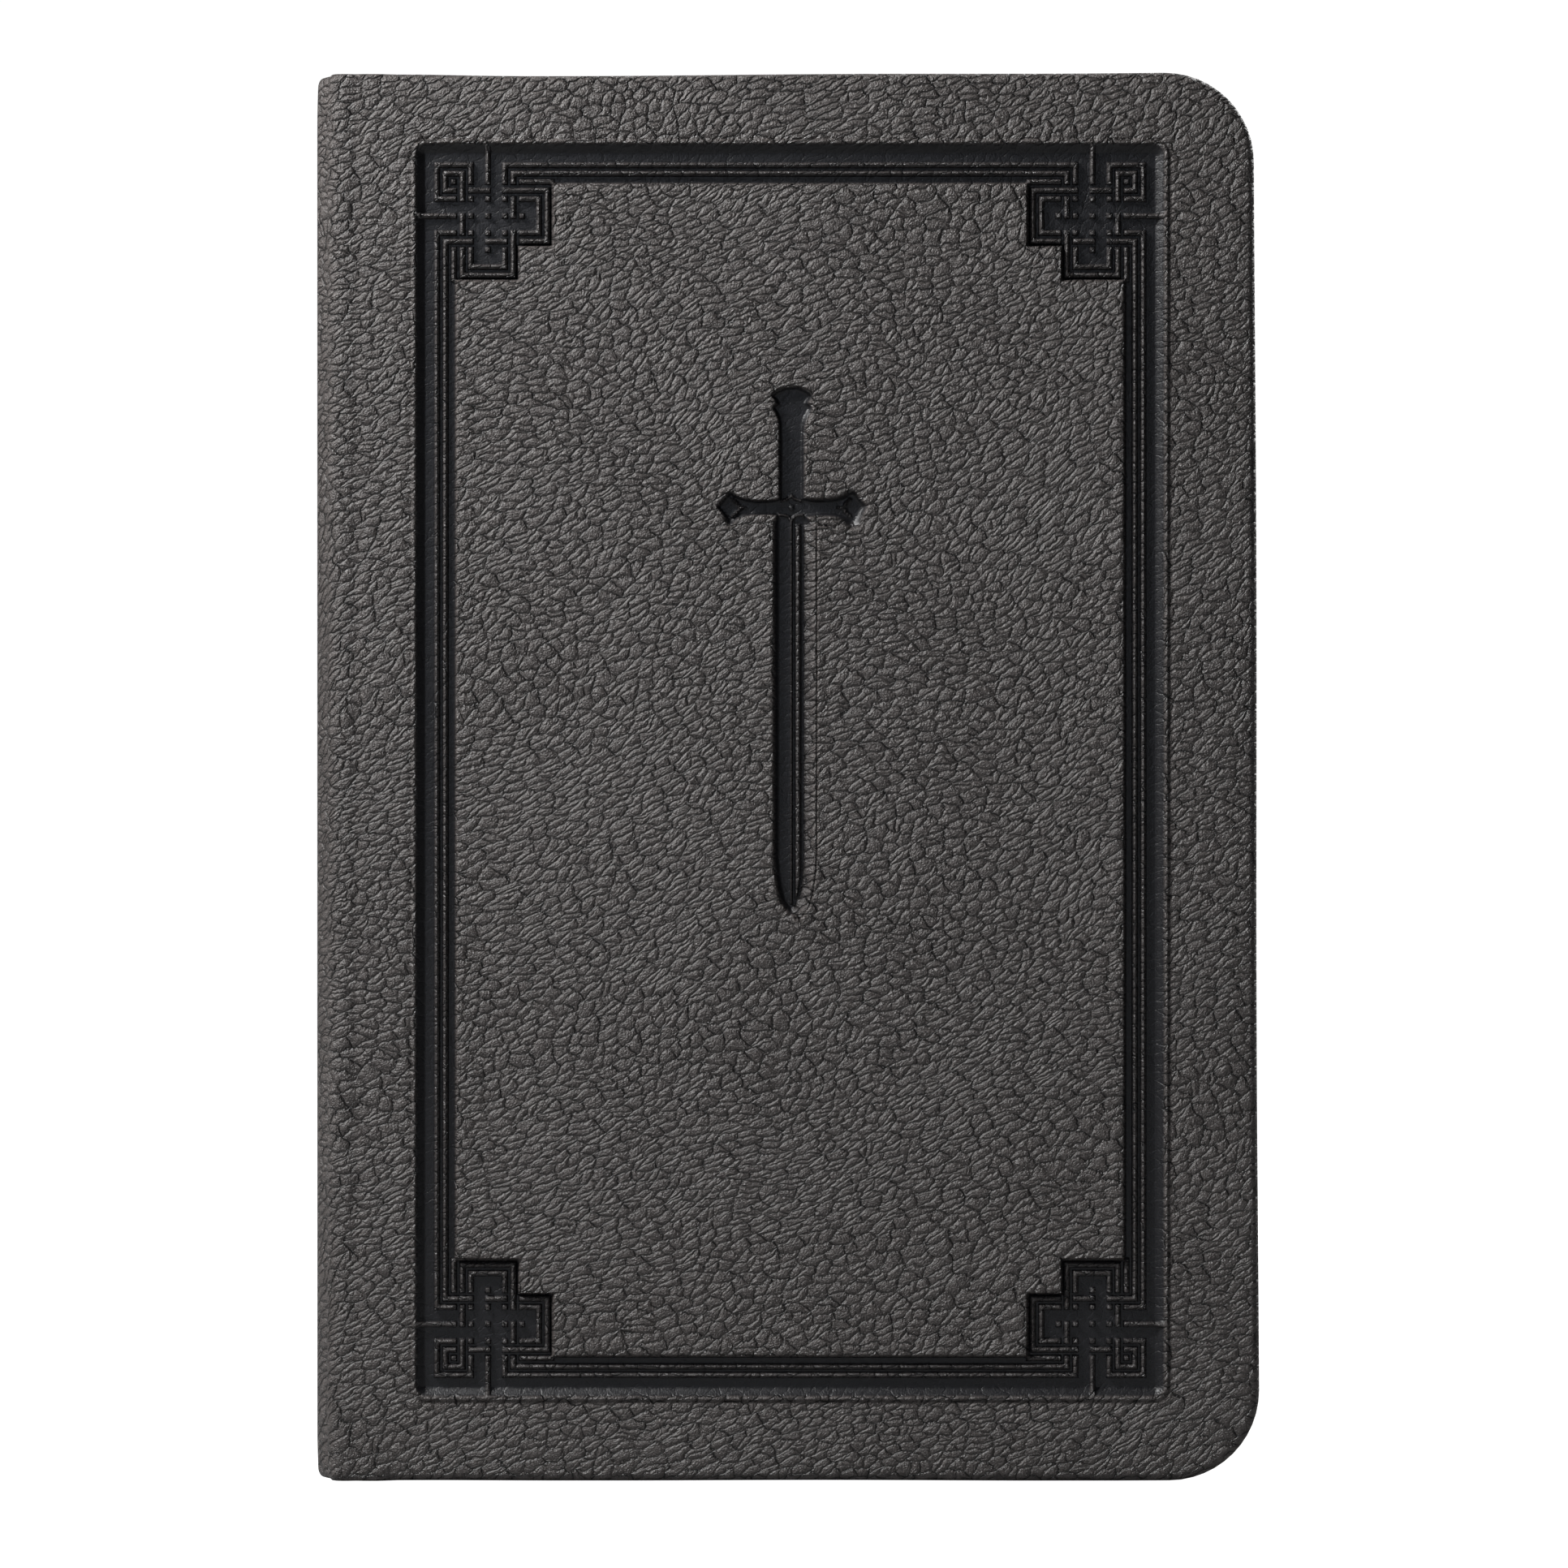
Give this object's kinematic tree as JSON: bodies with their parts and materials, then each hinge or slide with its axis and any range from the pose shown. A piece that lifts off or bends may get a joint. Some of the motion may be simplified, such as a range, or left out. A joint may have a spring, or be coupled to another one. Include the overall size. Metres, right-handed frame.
{
  "type": "bible",
  "caption": "Closed soft-cover Bible with a padded dark cover, blind-embossed knotwork frame and sword, rounded back, and turning covers and leaves.",
  "frame": {"origin": "centre of the box of the closed book, at its tail, where it stands", "axes": "+Z from tail to head, +X from the spine to the fore-edge, -Y out of the front cover"},
  "size_m": [0.1144, 0.0274, 0.1715],
  "materials": {
    "cover_leather": "dark charcoal grained imitation leather, satin, darker and smoother where it is debossed",
    "bible_paper": "thin cream Bible paper, uncoated, edges rubbed with a muted gilt",
    "endpaper": "heavy dark endpaper, matt, lightly textured",
    "board": "thin grey flexible board",
    "padding": "thin foam padding",
    "binding_cloth": "open-weave cotton mull and tape",
    "thread": "waxed linen thread",
    "headband": "wound black and cream cotton headband"
  },
  "bodies": {
    "rear_half": {"section_13": "bible_paper", "section_14": "bible_paper", "section_15": "bible_paper", "section_16": "bible_paper", "section_17": "bible_paper", "section_18": "bible_paper", "section_19": "bible_paper", "section_20": "bible_paper", "section_21": "bible_paper", "section_22": "bible_paper", "section_23": "bible_paper", "section_24": "bible_paper", "back_flyleaf_guard": "endpaper", "sewing_tapes_rear": "binding_cloth", "sewing_thread_rear": "thread", "spine_mull_rear": "binding_cloth", "spine_card_rear": "board", "head_band_rear": "headband", "tail_band_rear": "headband", "spine_skin_rear": "cover_leather"},
    "front_half": {"section_01": "bible_paper", "section_02": "bible_paper", "section_03": "bible_paper", "section_04": "bible_paper", "section_05": "bible_paper", "section_06": "bible_paper", "section_07": "bible_paper", "section_08": "bible_paper", "section_09": "bible_paper", "section_10": "bible_paper", "section_11": "bible_paper", "section_12": "bible_paper", "front_flyleaf_guard": "endpaper", "sewing_tapes_front": "binding_cloth", "sewing_thread_front": "thread", "spine_mull_front": "binding_cloth", "spine_card_front": "board", "head_band_front": "headband", "tail_band_front": "headband", "spine_skin_front": "cover_leather"},
    "middle_leaf_1": {"centre_leaf_1": "bible_paper"},
    "middle_leaf_2": {"centre_leaf_2": "bible_paper"},
    "middle_leaf_3": {"centre_leaf_3": "bible_paper"},
    "front_joint": {"front_joint_skin": "cover_leather", "front_joint_lining": "binding_cloth"},
    "front_cover": {"front_cover_skin": "cover_leather", "front_padding": "padding", "front_board": "board", "front_infill": "board", "front_pastedown": "endpaper"},
    "front_endleaf": {"front_flyleaf": "endpaper"},
    "back_joint": {"back_joint_skin": "cover_leather", "back_joint_lining": "binding_cloth"},
    "back_cover": {"back_cover_skin": "cover_leather", "back_padding": "padding", "back_board": "board", "back_infill": "board", "back_pastedown": "endpaper"},
    "back_endleaf": {"back_flyleaf": "endpaper"}
  },
  "joints": [
    {"name": "middle_opening", "type": "hinge", "parent": "rear_half", "child": "front_half", "pos_m": [-0.0572, 0, 0.08575], "axis": [0, 0, -1], "range_deg": [0, 165]},
    {"name": "middle_leaf_1_turn", "type": "hinge", "parent": "rear_half", "child": "middle_leaf_1", "pos_m": [-0.0572, 0, 0.08575], "axis": [0, 0, -1], "range_deg": [0, 41.25]},
    {"name": "middle_leaf_2_turn", "type": "hinge", "parent": "rear_half", "child": "middle_leaf_2", "pos_m": [-0.0572, 0, 0.08575], "axis": [0, 0, -1], "range_deg": [0, 82.5]},
    {"name": "middle_leaf_3_turn", "type": "hinge", "parent": "rear_half", "child": "middle_leaf_3", "pos_m": [-0.0572, 0, 0.08575], "axis": [0, 0, -1], "range_deg": [0, 123.75]},
    {"name": "front_joint_bend", "type": "hinge", "parent": "front_half", "child": "front_joint", "pos_m": [-0.052, -0.01372, 0.08575], "axis": [0, 0, -1], "range_deg": [0, 90]},
    {"name": "front_cover_fold", "type": "hinge", "parent": "front_joint", "child": "front_cover", "pos_m": [-0.048, -0.01372, 0.08575], "axis": [0, 0, 1], "range_deg": [-175, 0]},
    {"name": "front_endleaf_turn", "type": "hinge", "parent": "front_half", "child": "front_endleaf", "pos_m": [-0.0475, -0.01082, 0.08575], "axis": [0, 0, -1], "range_deg": [0, 87.5]},
    {"name": "back_joint_bend", "type": "hinge", "parent": "rear_half", "child": "back_joint", "pos_m": [-0.052, 0.01372, 0.08575], "axis": [0, 0, 1], "range_deg": [0, 90]},
    {"name": "back_cover_fold", "type": "hinge", "parent": "back_joint", "child": "back_cover", "pos_m": [-0.048, 0.01372, 0.08575], "axis": [0, 0, -1], "range_deg": [-175, 0]},
    {"name": "back_endleaf_turn", "type": "hinge", "parent": "rear_half", "child": "back_endleaf", "pos_m": [-0.0475, 0.01082, 0.08575], "axis": [0, 0, 1], "range_deg": [0, 87.5]}
  ],
  "couplings": [
    {"joint": "middle_leaf_1_turn", "follows": "middle_opening", "ratio": 0.25},
    {"joint": "middle_leaf_2_turn", "follows": "middle_opening", "ratio": 0.5},
    {"joint": "middle_leaf_3_turn", "follows": "middle_opening", "ratio": 0.75},
    {"joint": "front_endleaf_turn", "follows": "front_cover_fold", "ratio": -0.5},
    {"joint": "back_endleaf_turn", "follows": "back_cover_fold", "ratio": -0.5}
  ]
}
